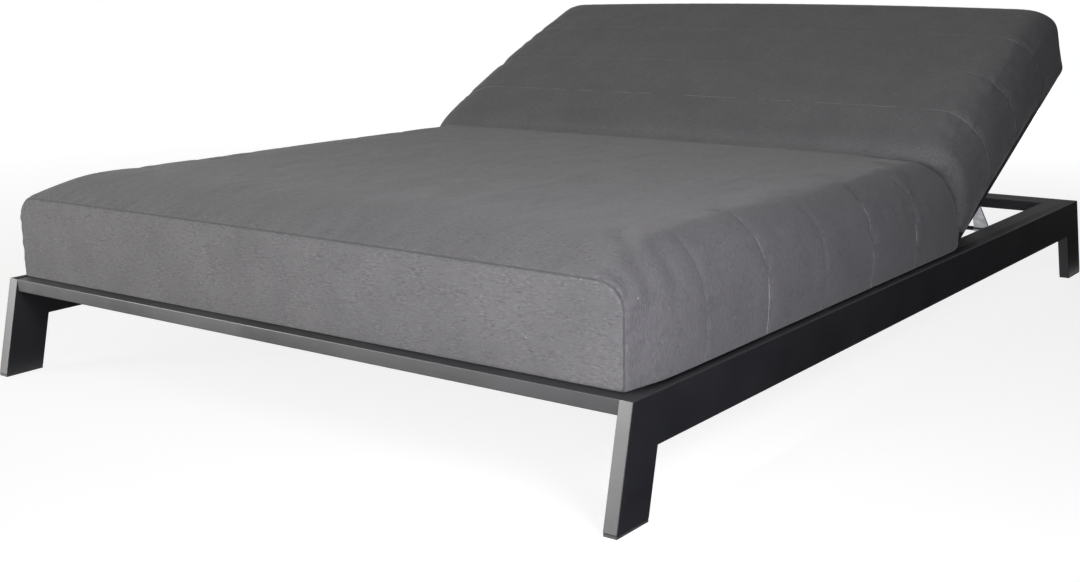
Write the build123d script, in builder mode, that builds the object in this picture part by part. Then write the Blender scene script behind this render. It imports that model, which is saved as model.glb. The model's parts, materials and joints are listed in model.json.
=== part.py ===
from build123d import *
import os
from math import cos, hypot, radians, sin, sqrt

os.makedirs("parts", exist_ok=True)

# Double chaise lounger. Origin on the floor under the middle of the whole object, +X to one long
# side, -Y towards the feet end, +Y towards the head end, +Z up. All lengths are millimetres.

# Base frame
frame_width = 1500
frame_length = 2000
frame_height = 193
front_splay = 45
rear_splay = 58
side_tube_depth = 82
side_tube_thickness = 25
side_tube_wall = 2
flat_tube_height = 25
flat_tube_wall = 2
end_rail_width = 73
ledge_width = 38
beam_width = 30
beam_depth = 40

# Foot glides
glide_height = 5
glide_inset = 0.8
glide_plug_length = 16
glide_plug_clearance = 0.2

# Seat deck
seat_slat_count = 8
seat_slat_width = 80
hinge_rail_width = 40
hinge_rail_lead = 20

# Backrest frame, measured from the hinge axis: along the frame and square to it
backrest_angle = 26.8
backrest_side_inset = 38
backrest_thickness = 16
backrest_wall = 1.5
backrest_rail_width = 40
backrest_slat_width = 80
backrest_slat_count = 3
backrest_rest_gap = 0.3

# Hinges
hinge_length_share = 0.65
hinge_pin_radius = 4
hinge_running_clearance = 0.05
hinge_rail_gap = 12
hinge_eye_width = 10
hinge_ear_width = 5
hinge_side_clearance = 0.3
hinge_pin_overhang = 3
hinge_side_inset = 190

# Backrest stays
stay_rod_share = 0.507
stay_rod_below_top = 28
stay_pivot_share = 0.676
stay_pivot_drop = 20
stay_pin_radius = 4
stay_running_clearance = 0.05
stay_eye_radius = 7
stay_side_inset = 95
stay_top_width = 20
stay_foot_width = 37
stay_flare_start = 80
stay_arm_thickness = 4
stay_rod_radius = 5
stay_bracket_ear = 4
stay_bracket_clearance = 0.3
stay_pin_overhang = 2

# Stay racks
rack_web_thickness = 5
rack_flange_width = 20
rack_flange_depth = 14
rack_rod_gap = 0.3
rack_end_gap = 3
rack_notch_depth = 6
rack_end_length = 25
rack_web_below_top = 4
rack_low_angle = 13.4
rack_high_angle = 40
rack_screw_radius = 2.5
rack_screw_head_radius = 4.5
rack_screw_head_height = 2.5
rack_screw_length = 9
rack_screw_inset = 14
rack_screw_below_top = 12

# Mattress: a seat part, a back part and the soft fold between them
cushion_side_inset = 22
cushion_front_inset = 23
cushion_side_draw = 9
cushion_tight_radius = 32
cushion_soft_radius = 50
cushion_gap = 0.3
cushion_end_round = 12
seat_cushion_end_gap = 86
seat_cushion_height = 162
seat_cushion_rise = 30
seat_cushion_crown = 8
back_cushion_start = 58
back_cushion_height = 158
back_cushion_rise = 20
back_cushion_crown = 10
fold_height = 164
fold_side_inset = 14
fold_hinge_gap = 5

# Stations along a cushion: shares of its length, of its rise, of its crown and of the change
# from the tight to the soft corner
seat_form_shares = (
    (0, 0, 0.2, 0),
    (0.03, 0.4, 0.4, 0.4),
    (0.07, 0.8, 0.7, 0.8),
    (0.12, 1, 0.9, 1),
    (0.4, 0.95, 1, 1),
    (0.85, 0.8, 0.9, 1),
    (1, 0.6, 0.5, 1),
)
back_form_shares = ((0, 0, 0.6, 0.3), (0.15, 0.4, 0.9, 1), (0.5, 0.85, 1, 1), (0.8, 1, 1, 1), (1, 0.9, 0.5, 1))

# One overrun for every cut
overrun = 1

# Places worked out from the sizes above
half_width = frame_width / 2
total_length = frame_length + front_splay + rear_splay
frame_front = front_splay - total_length / 2
frame_rear = frame_front + frame_length
side_tube_middle = half_width - side_tube_thickness / 2
side_inner = half_width - side_tube_thickness
ledge_inner = side_inner - ledge_width
flat_tube_middle = frame_height - flat_tube_height / 2
deck_front = frame_front + end_rail_width
deck_rear = frame_rear - end_rail_width
backrest_length = frame_length * (1 - hinge_length_share)
hinge_y = frame_rear - backrest_length
hinge_rail_front = hinge_y - hinge_rail_lead
hinge_spacing = half_width - hinge_side_inset
backrest_width = frame_width - 2 * backrest_side_inset
half_back = backrest_thickness / 2
hinge_z = frame_height + half_back + backrest_rest_gap
stay_rod_along = backrest_length * stay_rod_share
rod_y = hinge_y + stay_rod_along
stay_rod_height = frame_height - stay_rod_below_top
stay_pivot_along = stay_rod_along * stay_pivot_share
stay_outer_edge = half_width - stay_side_inset

# The backrest's own plane: x across, y square to the frame and upwards, z back towards the hinge
tilt = radians(backrest_angle)
hinge_axis = Vector(0, hinge_y, hinge_z)
along_back = Vector(0, cos(tilt), sin(tilt))
square_to_back = Vector(0, -sin(tilt), cos(tilt))


def back_plane(along, across=0, square=0):
    # A plane square to the backrest's length, at a distance along it from the hinge axis
    origin = hinge_axis + along_back * along + square_to_back * square + Vector(across, 0, 0)
    return Plane(origin=origin, x_dir=(1, 0, 0), z_dir=along_back * -1)


def cross_plane(x):
    # A plane square to X, with its own x along the lounger and its own y upwards
    return Plane(origin=(x, 0, 0), x_dir=(0, 1, 0), z_dir=(1, 0, 0))


def level_plane(y, x=0, z=0):
    # A plane square to the lounger's length, with its own x across and its own y upwards
    return Plane(origin=(x, y, z), x_dir=(1, 0, 0), z_dir=(0, -1, 0))


def tube_along(run, middle, width, height, wall):
    # A hollow box tube, run from its middle both ways, on the plane through its middle
    with BuildPart() as tube:
        with BuildSketch(middle):
            Rectangle(width, height)
            Rectangle(width - 2 * wall, height - 2 * wall, mode=Mode.SUBTRACT)
        extrude(amount=run / 2, both=True)
    return tube


def save(piece, name):
    piece.part.label = name
    export_step(piece.part, f"parts/{name}.step")


# Side frames: rails and legs of one deep tube, mitred at the corners


def corner(y, splay, way):
    # The outer top corner of a side frame, the leg's direction and the mitre's normal
    lean = Vector(0, -way * splay, -frame_height).normalized()
    rail = Vector(0, way, 0)
    inward = Vector(0, way * frame_height, -splay).normalized()
    return Vector(0, y, frame_height), lean, inward, rail - lean


def make_side_rail(x):
    middle = level_plane((frame_front + frame_rear) / 2, x, frame_height - side_tube_depth / 2)
    with BuildPart() as rail:
        add(tube_along(frame_length, middle, side_tube_thickness, side_tube_depth, side_tube_wall).part)
        for y, splay, way in ((frame_front, front_splay, 1), (frame_rear, rear_splay, -1)):
            top, lean, inward, mitre = corner(y, splay, way)
            split(bisect_by=Plane(origin=top, z_dir=mitre), keep=Keep.TOP)
    return rail


def make_leg(x, y, splay, way):
    top, lean, inward, mitre = corner(y, splay, way)
    leg_length = hypot(frame_height, splay)
    middle = top + lean * leg_length / 2 + inward * side_tube_depth / 2 + Vector(x, 0, 0)
    section = Plane(origin=middle, x_dir=(1, 0, 0), z_dir=lean)
    run = leg_length + 2 * side_tube_depth
    with BuildPart() as leg:
        add(tube_along(run, section, side_tube_thickness, side_tube_depth, side_tube_wall).part)
        split(bisect_by=Plane(origin=top, z_dir=mitre), keep=Keep.BOTTOM)
        split(bisect_by=Plane.XY.offset(glide_height), keep=Keep.TOP)
    return leg


def make_glide(x, y, splay, way):
    # A pad under the leg, with a plug that follows the leaning tube
    top, lean, inward, mitre = corner(y, splay, way)
    foot_depth = side_tube_depth * hypot(frame_height, splay) / frame_height
    outer = y - way * splay * (frame_height - glide_height) / frame_height
    middle = outer + way * foot_depth / 2
    plug_gap = 2 * (side_tube_wall + glide_plug_clearance)
    plug_depth = foot_depth * (side_tube_depth - plug_gap) / side_tube_depth
    with BuildPart() as glide:
        with BuildSketch(Plane.XY):
            with Locations((x, middle)):
                Rectangle(side_tube_thickness - 2 * glide_inset, foot_depth - 2 * glide_inset)
        extrude(amount=glide_height)
        with BuildSketch(Plane.XY.offset(glide_height)):
            with Locations((x, middle)):
                Rectangle(side_tube_thickness - plug_gap, plug_depth)
        extrude(amount=glide_plug_length, dir=lean * -1)
    return glide


for side, x in (("left", -side_tube_middle), ("right", side_tube_middle)):
    save(make_side_rail(x), f"{side}_side_rail")
    save(make_leg(x, frame_front, front_splay, 1), f"front_{side}_leg")
    save(make_leg(x, frame_rear, rear_splay, -1), f"rear_{side}_leg")
    save(make_glide(x, frame_front, front_splay, 1), f"front_{side}_foot_glide")
    save(make_glide(x, frame_rear, rear_splay, -1), f"rear_{side}_foot_glide")

# Flat tubes of the base frame


def make_cross_tube(y_start, width, x_reach):
    # A flat tube across the lounger, its top flush with the frame
    middle = Plane(origin=(0, y_start + width / 2, flat_tube_middle), x_dir=(0, 1, 0), z_dir=(1, 0, 0))
    return tube_along(2 * x_reach, middle, width, flat_tube_height, flat_tube_wall)


save(make_cross_tube(frame_front, end_rail_width, side_inner), "front_rail")
save(make_cross_tube(deck_rear, end_rail_width, side_inner), "rear_rail")
save(make_cross_tube(hinge_rail_front, hinge_rail_width, ledge_inner), "hinge_rail")

# Seat slats, evenly spaced between the front rail and the hinge rail, on a centre beam
slat_gap = (hinge_rail_front - deck_front - seat_slat_count * seat_slat_width) / (seat_slat_count + 1)
slat_pitch = seat_slat_width + slat_gap
for number in range(seat_slat_count):
    slat_start = deck_front + slat_gap + number * slat_pitch
    save(make_cross_tube(slat_start, seat_slat_width, ledge_inner), f"seat_slat_{number + 1}")

beam_front = deck_front + slat_gap
beam_rear = hinge_rail_front + hinge_rail_width
beam_middle = level_plane((beam_front + beam_rear) / 2, 0, frame_height - flat_tube_height - beam_depth / 2)
save(tube_along(beam_rear - beam_front, beam_middle, beam_width, beam_depth, flat_tube_wall), "centre_beam")

# Backrest frame: stiles, rails and slats in one plane
back_start = hinge_rail_gap
back_run = backrest_length - back_start
stile_reach = backrest_width / 2 - backrest_rail_width
bay_width = stile_reach - backrest_rail_width / 2
bay_middle = backrest_rail_width / 2 + bay_width / 2


def make_stile(x):
    middle = back_plane(back_start + back_run / 2, x)
    return tube_along(back_run, middle, backrest_rail_width, backrest_thickness, backrest_wall)


def make_back_cross(start, width, x, run):
    # A tube across the backrest, from a distance along it
    centre = hinge_axis + along_back * (start + width / 2) + Vector(x, 0, 0)
    middle = Plane(origin=centre, x_dir=along_back, z_dir=(1, 0, 0))
    return tube_along(run, middle, width, backrest_thickness, backrest_wall)


save(make_stile(-(backrest_width - backrest_rail_width) / 2), "backrest_left_stile")
save(make_stile((backrest_width - backrest_rail_width) / 2), "backrest_right_stile")

rail_run = 2 * stile_reach
top_rail_start = backrest_length - backrest_rail_width
save(make_back_cross(back_start, backrest_rail_width, 0, rail_run), "backrest_bottom_rail")
save(make_back_cross(top_rail_start, backrest_rail_width, 0, rail_run), "backrest_top_rail")

centre_start = back_start + backrest_rail_width
centre_run = top_rail_start - centre_start
centre_middle = back_plane(centre_start + centre_run / 2)
centre_stile = tube_along(centre_run, centre_middle, backrest_rail_width, backrest_thickness, backrest_wall)
save(centre_stile, "backrest_centre_stile")

stay_rail_start = stay_pivot_along - backrest_rail_width / 2
slat_zone_start = stay_rail_start + backrest_rail_width
slat_zone = top_rail_start - slat_zone_start
back_slat_gap = (slat_zone - (backrest_slat_count - 1) * backrest_slat_width) / backrest_slat_count
back_slat_pitch = backrest_slat_width + back_slat_gap
lower_zone = stay_rail_start - centre_start
lower_slat_start = centre_start + (lower_zone - backrest_slat_width) / 2
for side, x in (("left", -bay_middle), ("right", bay_middle)):
    stay_rail = make_back_cross(stay_rail_start, backrest_rail_width, x, bay_width)
    save(stay_rail, f"backrest_{side}_stay_rail")
    starts = [lower_slat_start]
    for number in range(backrest_slat_count - 1):
        starts.append(slat_zone_start + back_slat_gap + number * back_slat_pitch)
    for number, start in enumerate(starts):
        slat = make_back_cross(start, backrest_slat_width, x, bay_width)
        save(slat, f"backrest_{side}_slat_{number + 1}")

# Hinges: a clevis on the hinge rail, an eye on the backrest's bottom rail, and a pin
hinge_places = (("left", -hinge_spacing), ("centre", 0), ("right", hinge_spacing))
ear_offset = hinge_eye_width / 2 + hinge_side_clearance + hinge_ear_width / 2


def round_lug(x, width, base, bore):
    # A lug across X: a round end at the hinge axis, run straight to its base
    with BuildPart() as lug:
        with BuildSketch(cross_plane(x)):
            with Locations((hinge_y, hinge_z)):
                Circle(half_back)
            with BuildLine():
                Polyline(*base, close=True)
            make_face()
            with Locations((hinge_y, hinge_z)):
                Circle(bore, mode=Mode.SUBTRACT)
        extrude(amount=width / 2, both=True)
    return lug


def back_point(along, square):
    # A point of the backrest's side view, in the plane across X
    place = hinge_axis + along_back * along + square_to_back * square
    return (place.Y, place.Z)


ear_base = [
    (hinge_y - half_back, hinge_z),
    (hinge_y - half_back, frame_height),
    (hinge_y + half_back, frame_height),
    (hinge_y + half_back, hinge_z),
]
eye_base = [
    back_point(0, half_back),
    back_point(0, -half_back),
    back_point(hinge_rail_gap, -half_back),
    back_point(hinge_rail_gap, half_back),
]
for name, x in hinge_places:
    with BuildPart() as clevis:
        for way in (-1, 1):
            add(round_lug(x + way * ear_offset, hinge_ear_width, ear_base, hinge_pin_radius).part)
    save(clevis, f"{name}_hinge_clevis")
    eye_bore = hinge_pin_radius + hinge_running_clearance
    save(round_lug(x, hinge_eye_width, eye_base, eye_bore), f"{name}_hinge_eye")

pin_reach = ear_offset + hinge_ear_width / 2 + hinge_pin_overhang
with BuildPart() as hinge_pins:
    for name, x in hinge_places:
        with BuildSketch(cross_plane(x)):
            with Locations((hinge_y, hinge_z)):
                Circle(hinge_pin_radius)
        extrude(amount=pin_reach, both=True)
save(hinge_pins, "hinge_pins")

# Stays: two arms that widen towards the foot, pivoted under the backrest, on one cross rod
pivot = hinge_axis + along_back * stay_pivot_along - square_to_back * stay_pivot_drop
foot = Vector(0, rod_y, stay_rod_height)
stay_run = (foot - pivot).length
stay_way = (foot - pivot).normalized()


def make_stay_arm(side):
    # The arm's own plane: x outwards, y from the pivot to the foot
    face = Plane(origin=pivot, x_dir=(side, 0, 0), z_dir=Vector(side, 0, 0).cross(stay_way))
    outer = stay_outer_edge
    inner_top = outer - stay_top_width
    inner_foot = outer - stay_foot_width
    outline = [
        (inner_top, 0),
        (outer, 0),
        (outer, stay_run),
        (inner_foot, stay_run),
        (inner_top, stay_flare_start),
    ]
    with BuildPart() as arm:
        with BuildSketch(face):
            with BuildLine():
                Polyline(*outline, close=True)
            make_face()
        extrude(amount=stay_arm_thickness / 2, both=True)
        for place, width in ((pivot, stay_top_width), (foot, stay_foot_width)):
            with BuildSketch(cross_plane(side * outer)):
                with Locations((place.Y, place.Z)):
                    Circle(stay_eye_radius)
            extrude(amount=-side * width)
        with BuildSketch(cross_plane(side * (outer + overrun))):
            with Locations((pivot.Y, pivot.Z)):
                Circle(stay_pin_radius + stay_running_clearance)
            with Locations((foot.Y, foot.Z)):
                Circle(stay_rod_radius)
        extrude(amount=-side * (stay_foot_width + 2 * overrun), mode=Mode.SUBTRACT)
    return arm


def make_stay_bracket(side):
    # Two ears under the stay rail, one each side of the arm's eye
    with BuildPart() as bracket:
        eye_middle = side * (stay_outer_edge - stay_top_width / 2)
        offset_x = stay_top_width / 2 + stay_bracket_clearance + stay_bracket_ear / 2
        for way in (-1, 1):
            with BuildSketch(cross_plane(eye_middle + way * offset_x)):
                with BuildLine():
                    Polyline(
                        back_point(stay_pivot_along - stay_eye_radius, -half_back),
                        back_point(stay_pivot_along - stay_eye_radius, -stay_pivot_drop),
                        back_point(stay_pivot_along + stay_eye_radius, -stay_pivot_drop),
                        back_point(stay_pivot_along + stay_eye_radius, -half_back),
                        close=True,
                    )
                make_face()
                with Locations((pivot.Y, pivot.Z)):
                    Circle(stay_eye_radius)
                with Locations((pivot.Y, pivot.Z)):
                    Circle(stay_pin_radius, mode=Mode.SUBTRACT)
            extrude(amount=stay_bracket_ear / 2, both=True)
    return bracket


for side, way in (("left", -1), ("right", 1)):
    save(make_stay_arm(way), f"{side}_stay_arm")
    save(make_stay_bracket(way), f"{side}_stay_bracket")

pin_half = stay_top_width / 2 + stay_bracket_clearance + stay_bracket_ear + stay_pin_overhang
with BuildPart() as stay_pins:
    for way in (-1, 1):
        with BuildSketch(cross_plane(way * (stay_outer_edge - stay_top_width / 2))):
            with Locations((pivot.Y, pivot.Z)):
                Circle(stay_pin_radius)
        extrude(amount=pin_half, both=True)
save(stay_pins, "stay_pivot_pins")

rod_reach = ledge_inner - rack_web_thickness - rack_end_gap
with BuildPart() as stay_rod:
    with BuildSketch(cross_plane(0)):
        with Locations((foot.Y, foot.Z)):
            Circle(stay_rod_radius)
    extrude(amount=rod_reach, both=True)
save(stay_rod, "stay_rod")

# Racks: an upright web on each ledge, with a notched flange under the rod's ends
crest = stay_rod_height - stay_rod_radius - rack_rod_gap


def foot_reach(angle):
    # How far from the hinge axis the rod lies at a backrest angle, at its height on the rack.
    # The steepest place has the stay upright.
    turn = radians(angle)
    pivot_along = stay_pivot_along * cos(turn) + stay_pivot_drop * sin(turn)
    pivot_height = hinge_z + stay_pivot_along * sin(turn) - stay_pivot_drop * cos(turn)
    rise = pivot_height - stay_rod_height
    return pivot_along + sqrt(max(stay_run ** 2 - rise ** 2, 0))


rack_angles = (rack_low_angle, backrest_angle, rack_high_angle)
notch_places = [hinge_y + foot_reach(angle) for angle in rack_angles]
rack_front = min(notch_places) - rack_end_length
rack_rear = max(notch_places) + rack_end_length
screw_places = [rack_front + rack_screw_inset, (rack_front + rack_rear) / 2, rack_rear - rack_screw_inset]
screw_z = frame_height - rack_screw_below_top


def make_rack(side):
    web_outer = side * ledge_inner
    flange_bottom = crest - rack_flange_depth
    with BuildPart() as rack:
        with BuildSketch(cross_plane(web_outer)):
            with BuildLine():
                Polyline(
                    (rack_front, flange_bottom),
                    (rack_rear, flange_bottom),
                    (rack_rear, frame_height - rack_web_below_top),
                    (rack_front, frame_height - rack_web_below_top),
                    close=True,
                )
            make_face()
            with Locations(*[(y, screw_z) for y in screw_places]):
                Circle(rack_screw_radius, mode=Mode.SUBTRACT)
        extrude(amount=-side * rack_web_thickness)
        with BuildSketch(cross_plane(side * (ledge_inner - rack_web_thickness))):
            with BuildLine():
                Polyline(
                    (rack_front, flange_bottom),
                    (rack_rear, flange_bottom),
                    (rack_rear, crest),
                    (rack_front, crest),
                    close=True,
                )
            make_face()
            for y in notch_places:
                with Locations((y, crest)):
                    Circle(rack_notch_depth, mode=Mode.SUBTRACT)
        extrude(amount=-side * rack_flange_width)
    return rack


def make_rack_screws(side):
    # Pan heads against the web, shanks through it into the ledge's wall
    head_face = side * (ledge_inner - rack_web_thickness)
    with BuildPart() as screws:
        for y in screw_places:
            with BuildSketch(cross_plane(head_face)):
                with Locations((y, screw_z)):
                    Circle(rack_screw_head_radius)
            extrude(amount=-side * rack_screw_head_height)
            with BuildSketch(cross_plane(head_face)):
                with Locations((y, screw_z)):
                    Circle(rack_screw_radius)
            extrude(amount=side * rack_screw_length)
    return screws


def make_ledge(side):
    # The flat tube inside a side rail, with holes for the rack's screws in its inner wall
    middle_x = side * (side_inner - ledge_width / 2)
    middle = level_plane((deck_front + deck_rear) / 2, middle_x, flat_tube_middle)
    with BuildPart() as ledge:
        add(tube_along(deck_rear - deck_front, middle, ledge_width, flat_tube_height, flat_tube_wall).part)
        with BuildSketch(cross_plane(side * (ledge_inner - overrun))):
            with Locations(*[(y, screw_z) for y in screw_places]):
                Circle(rack_screw_radius)
        extrude(amount=side * (flat_tube_wall + 2 * overrun), mode=Mode.SUBTRACT)
    return ledge


for side, way in (("left", -1), ("right", 1)):
    save(make_rack(way), f"{side}_stay_rack")
    save(make_rack_screws(way), f"{side}_rack_screws")
    save(make_ledge(way), f"{side}_deck_ledge")

# Mattress
cushion_half = half_width - cushion_side_inset


def cushion_section(plane, bottom, height, crown, radius):
    # Flat below, sides that swell a little, rounded top corners and a crowned top
    foot_half = cushion_half - cushion_side_draw
    shoulder = bottom + height - radius
    top_half = cushion_half - radius
    knee = radius * (1 - sqrt(1 / 2))
    with BuildSketch(plane) as section:
        with BuildLine():
            Line((-foot_half, bottom), (foot_half, bottom))
            ThreePointArc(
                (foot_half, bottom),
                (cushion_half, (bottom + shoulder) / 2),
                (cushion_half - cushion_side_draw / 2, shoulder),
            )
            ThreePointArc(
                (cushion_half - cushion_side_draw / 2, shoulder),
                (cushion_half - cushion_side_draw / 2 - knee, bottom + height - knee),
                (top_half - cushion_side_draw / 2, bottom + height),
            )
            ThreePointArc(
                (top_half - cushion_side_draw / 2, bottom + height),
                (0, bottom + height + crown),
                (cushion_side_draw / 2 - top_half, bottom + height),
            )
            ThreePointArc(
                (cushion_side_draw / 2 - top_half, bottom + height),
                (cushion_side_draw / 2 + knee - cushion_half, bottom + height - knee),
                (cushion_side_draw / 2 - cushion_half, shoulder),
            )
            ThreePointArc(
                (cushion_side_draw / 2 - cushion_half, shoulder),
                (-cushion_half, (bottom + shoulder) / 2),
                (-foot_half, bottom),
            )
        make_face()
    return section.sketch


cushion_front = frame_front + cushion_front_inset
seat_rear = hinge_y - seat_cushion_end_gap
softening = cushion_soft_radius - cushion_tight_radius
seat_sections = []
for share, rise_share, crown_share, soft_share in seat_form_shares:
    plane = level_plane(cushion_front + share * (seat_rear - cushion_front))
    height = seat_cushion_height + rise_share * seat_cushion_rise
    radius = cushion_tight_radius + soft_share * softening
    crown = crown_share * seat_cushion_crown
    seat_sections.append(cushion_section(plane, frame_height + cushion_gap, height, crown, radius))
with BuildPart() as seat_cushion:
    loft(sections=seat_sections, ruled=True)
    fillet(seat_cushion.faces().sort_by(Axis.Y)[0].edges(), cushion_end_round)
save(seat_cushion, "seat_cushion")

back_sections = []
for share, rise_share, crown_share, soft_share in back_form_shares:
    plane = back_plane(backrest_length - share * (backrest_length - back_cushion_start))
    height = back_cushion_height + rise_share * back_cushion_rise
    radius = cushion_tight_radius + soft_share * softening
    crown = crown_share * back_cushion_crown
    back_sections.append(cushion_section(plane, half_back + cushion_gap, height, crown, radius))
with BuildPart() as back_cushion:
    loft(sections=back_sections)
    fillet(back_cushion.faces().sort_by(Axis((0, 0, 0), along_back))[-1].edges(), cushion_end_round)
save(back_cushion, "back_cushion")

fold_floor = half_back + cushion_gap
fold_front = seat_rear + cushion_gap
fold_rear = back_cushion_start - cushion_gap
fold_hinge_y = hinge_y - half_back - fold_hinge_gap
with BuildPart() as mattress_fold:
    with BuildSketch(cross_plane(0)):
        with BuildLine():
            Polyline(
                (fold_front, frame_height + cushion_gap),
                (fold_hinge_y, frame_height + cushion_gap),
                (fold_hinge_y, hinge_z + half_back + fold_hinge_gap / 2),
                back_point(hinge_rail_gap, fold_floor),
                back_point(fold_rear, fold_floor),
                back_point(fold_rear, fold_floor + fold_height),
                (fold_front, frame_height + cushion_gap + fold_height),
                close=True,
            )
        make_face()
    extrude(amount=cushion_half - fold_side_inset, both=True)
save(mattress_fold, "mattress_fold")
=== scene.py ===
import bpy
import bmesh
import json
import math
import numpy as np
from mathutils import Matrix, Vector


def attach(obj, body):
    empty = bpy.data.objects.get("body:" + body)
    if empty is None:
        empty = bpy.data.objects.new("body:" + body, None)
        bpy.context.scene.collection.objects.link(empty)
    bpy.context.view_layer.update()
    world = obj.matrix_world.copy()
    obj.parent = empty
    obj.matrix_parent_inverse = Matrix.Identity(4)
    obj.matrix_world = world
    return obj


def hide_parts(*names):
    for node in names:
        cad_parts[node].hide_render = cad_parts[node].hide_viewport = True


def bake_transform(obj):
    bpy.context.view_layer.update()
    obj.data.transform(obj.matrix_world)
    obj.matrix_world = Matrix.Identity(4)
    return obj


# Double chaise lounger: a charcoal tube frame under one thick mattress.
# Metres, +X to the right-hand side, -Y to the feet end, +Z up.

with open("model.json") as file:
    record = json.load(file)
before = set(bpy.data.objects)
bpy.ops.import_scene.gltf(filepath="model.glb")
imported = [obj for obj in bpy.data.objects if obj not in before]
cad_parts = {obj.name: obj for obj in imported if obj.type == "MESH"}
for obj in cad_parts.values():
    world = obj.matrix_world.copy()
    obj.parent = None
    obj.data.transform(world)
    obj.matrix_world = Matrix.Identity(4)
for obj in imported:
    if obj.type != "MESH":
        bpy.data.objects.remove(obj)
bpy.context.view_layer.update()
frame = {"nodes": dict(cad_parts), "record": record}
nodes = frame["nodes"]
print("frame loaded:", len(nodes), "nodes")


def hexToLinear(text):
    parts = [int(text[i:i + 2], 16) / 255 for i in (1, 3, 5)]
    return tuple(c / 12.92 if c <= 0.04045 else ((c + 0.055) / 1.055) ** 2.4 for c in parts) + (1,)


def addNode(tree, kind, settings=None, links=None):
    # one node, its socket values by name or number, and what is linked into it
    node = tree.nodes.new(kind)
    for name, value in (settings or {}).items():
        if isinstance(name, int) or name in node.inputs:
            node.inputs[name].default_value = value
        else:
            setattr(node, name, value)
    for name, source in (links or {}).items():
        tree.links.new(source, node.inputs[name])
    return node


def newMaterial(name):
    material = bpy.data.materials.new(name)
    material.use_nodes = True
    return material, material.node_tree, material.node_tree.nodes["Principled BSDF"]


def deselectAll():
    bpy.ops.object.select_all(action="DESELECT")


def makeActive(piece):
    deselectAll()
    piece.select_set(True)
    bpy.context.view_layer.objects.active = piece


def applyModifiers(piece):
    makeActive(piece)
    for modifier in list(piece.modifiers):
        bpy.ops.object.modifier_apply(modifier=modifier.name)


# Powder coat on aluminium tube: a charcoal film, satin, its fine orange peel just breaking the
# reflections, and a little paler where dust has settled in patches
coatLook = {"colour": "#1d1e20", "dusty": "#27282b", "roughness": (0.46, 0.58), "patchSize": 0.12,
            "patchRange": (0.3, 0.7), "peelSize": 0.003, "peelHeight": 0.00006, "specular": 0.4}


def makeCoat():
    look = coatLook
    material, tree, shader = newMaterial("charcoalPowderCoat")
    place = addNode(tree, "ShaderNodeTexCoord").outputs["Object"]
    satin, matt = look["roughness"]
    low, high = look["patchRange"]
    patches = addNode(tree, "ShaderNodeTexNoise", {"Scale": 1 / look["patchSize"], "Detail": 4,
                      "Roughness": 0.6}, {"Vector": place}).outputs["Fac"]
    tone = addNode(tree, "ShaderNodeMix", {"data_type": "RGBA", 6: hexToLinear(look["colour"]),
                   7: hexToLinear(look["dusty"])}, {0: patches}).outputs[2]
    gloss = addNode(tree, "ShaderNodeMapRange", {"From Min": low, "From Max": high, "To Min": satin,
                    "To Max": matt}, {"Value": patches}).outputs["Result"]
    peel = addNode(tree, "ShaderNodeTexNoise", {"Scale": 1 / look["peelSize"], "Detail": 1},
                   {"Vector": place}).outputs["Fac"]
    bump = addNode(tree, "ShaderNodeBump", {"Distance": look["peelHeight"], "Strength": 1},
                   {"Height": peel}).outputs["Normal"]
    shader.inputs["Specular IOR Level"].default_value = look["specular"]
    for socket, source in (("Base Color", tone), ("Roughness", gloss), ("Normal", bump)):
        tree.links.new(source, shader.inputs[socket])
    return material


# Zinc-plated steel: pale and half bright, drawn lengthwise, with the cloudy spangle of the plating
steelLook = {"colour": "#b9bbbd", "duller": "#8d8f92", "roughness": (0.3, 0.46), "cloudSize": 0.018,
             "drawnLength": 0.04, "drawnThick": 0.0012, "drawnHeight": 0.00003}
# Moulded polypropylene glide: black, dull, with a fine spark-eroded grain
glideLook = {"colour": "#1b1b1c", "worn": "#2b2b2c", "roughness": 0.68, "grainSize": 0.0018,
             "grainHeight": 0.00008, "wornSize": 0.02}


def makeSteel():
    look = steelLook
    material, tree, shader = newMaterial("zincPlatedSteel")
    place = addNode(tree, "ShaderNodeTexCoord").outputs["Object"]
    bright, dull = look["roughness"]
    cloud = addNode(tree, "ShaderNodeTexVoronoi", {"Scale": 1 / look["cloudSize"]},
                    {"Vector": place}).outputs["Distance"]
    tone = addNode(tree, "ShaderNodeMix", {"data_type": "RGBA", 6: hexToLinear(look["colour"]),
                   7: hexToLinear(look["duller"])}, {0: cloud}).outputs[2]
    gloss = addNode(tree, "ShaderNodeMapRange", {"To Min": bright, "To Max": dull},
                    {"Value": cloud}).outputs["Result"]
    laid = addNode(tree, "ShaderNodeMapping", {"Scale": (1 / look["drawnThick"], 1 / look["drawnLength"],
                   1 / look["drawnLength"])}, {"Vector": place}).outputs["Vector"]
    drawn = addNode(tree, "ShaderNodeTexNoise", {"Scale": 1, "Detail": 2}, {"Vector": laid}).outputs["Fac"]
    bump = addNode(tree, "ShaderNodeBump", {"Distance": look["drawnHeight"]},
                   {"Height": drawn}).outputs["Normal"]
    shader.inputs["Metallic"].default_value = 1
    for socket, source in (("Base Color", tone), ("Roughness", gloss), ("Normal", bump)):
        tree.links.new(source, shader.inputs[socket])
    return material


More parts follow.
